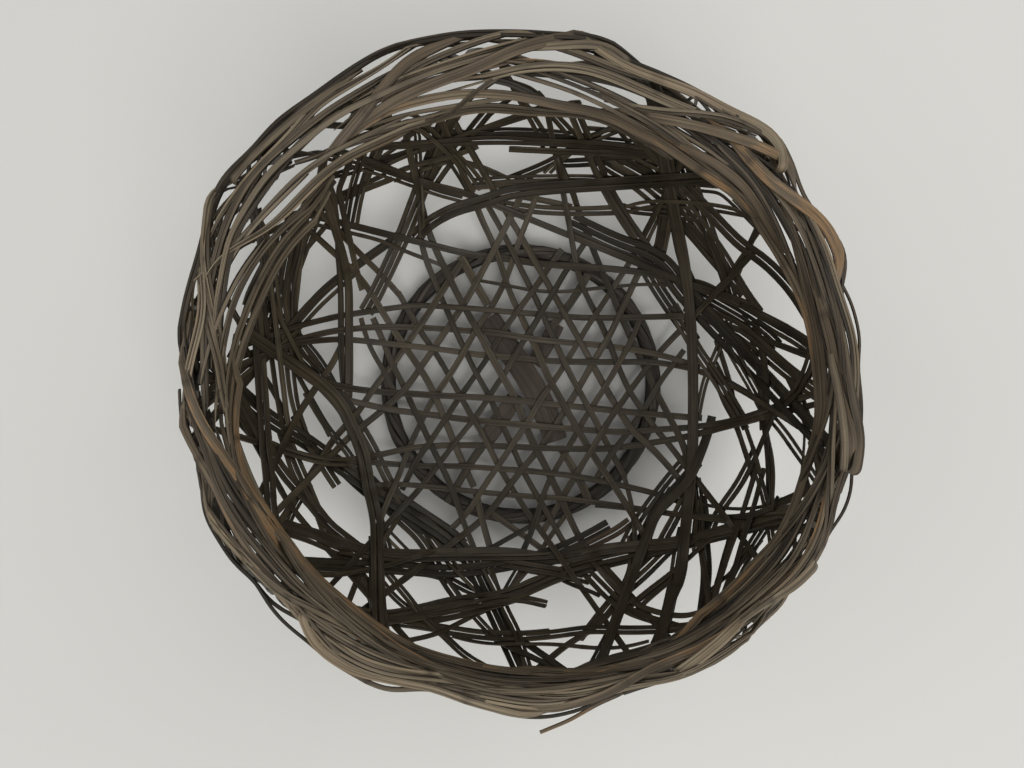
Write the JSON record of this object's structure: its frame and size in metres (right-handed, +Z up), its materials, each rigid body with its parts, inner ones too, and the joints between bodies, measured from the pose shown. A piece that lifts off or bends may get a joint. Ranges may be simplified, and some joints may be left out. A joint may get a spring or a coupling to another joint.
{
  "type": "ikebana basket",
  "caption": "Round open flower basket of irregularly woven split bamboo, with a twisted rope-like rim, an open-weave floor with stiffening slats and a low ring foot.",
  "frame": {"origin": "centre of the basket on the plane it stands on, under the foot ring", "axes": "+Z up through the mouth; +X to the right and +Y to the top of the plan view"},
  "size_m": [0.3296, 0.3296, 0.1966],
  "materials": {
    "split_strip": "smoked and aged split bamboo, satin",
    "wide_band": "smoked and aged split bamboo with long grain, satin",
    "floor_slat": "reddish brown bamboo, satin",
    "rim_splint": "grey-brown bamboo, worn to tan in streaks",
    "bundle": "dark bamboo splints"
  },
  "bodies": {
    "root": {"band_e_slant": "wide_band", "band_e_upright": "wide_band", "band_n_cross": "wide_band", "band_ne_dark": "wide_band", "band_ne_steep": "wide_band", "band_nw_low": "wide_band", "band_nw_tall": "wide_band", "band_s_cut": "wide_band", "band_s_low": "wide_band", "band_s_rim": "wide_band", "band_se_cut": "wide_band", "band_sw_dark": "wide_band", "band_sw_steep": "wide_band", "band_sw_upright": "wide_band", "band_w_sweep": "wide_band", "band_w_upright": "wide_band", "floor_slat_left": "floor_slat", "floor_slat_main": "floor_slat", "floor_slat_right": "floor_slat", "foot_hoop_lower": "bundle", "foot_hoop_upper": "bundle", "outer_hoop": "rim_splint", "rim_core": "bundle", "rim_strand_1": "rim_splint", "rim_strand_2": "rim_splint", "rim_strand_3": "rim_splint", "rim_strand_4": "rim_splint", "rim_strand_5": "rim_splint", "rim_strand_6": "rim_splint", "strip_across_1": "split_strip", "strip_across_2": "split_strip", "strip_across_3": "split_strip", "strip_across_4": "split_strip", "strip_across_5": "split_strip", "strip_across_6": "split_strip", "strip_across_7": "split_strip", "strip_falling_1": "split_strip", "strip_falling_2": "split_strip", "strip_falling_3": "split_strip", "strip_falling_4": "split_strip", "strip_falling_5": "split_strip", "strip_falling_6": "split_strip", "strip_falling_7": "split_strip", "strip_rising_1": "split_strip", "strip_rising_2": "split_strip", "strip_rising_3": "split_strip", "strip_rising_4": "split_strip", "strip_rising_5": "split_strip", "strip_rising_6": "split_strip", "strip_rising_7": "split_strip"}
  },
  "joints": []
}
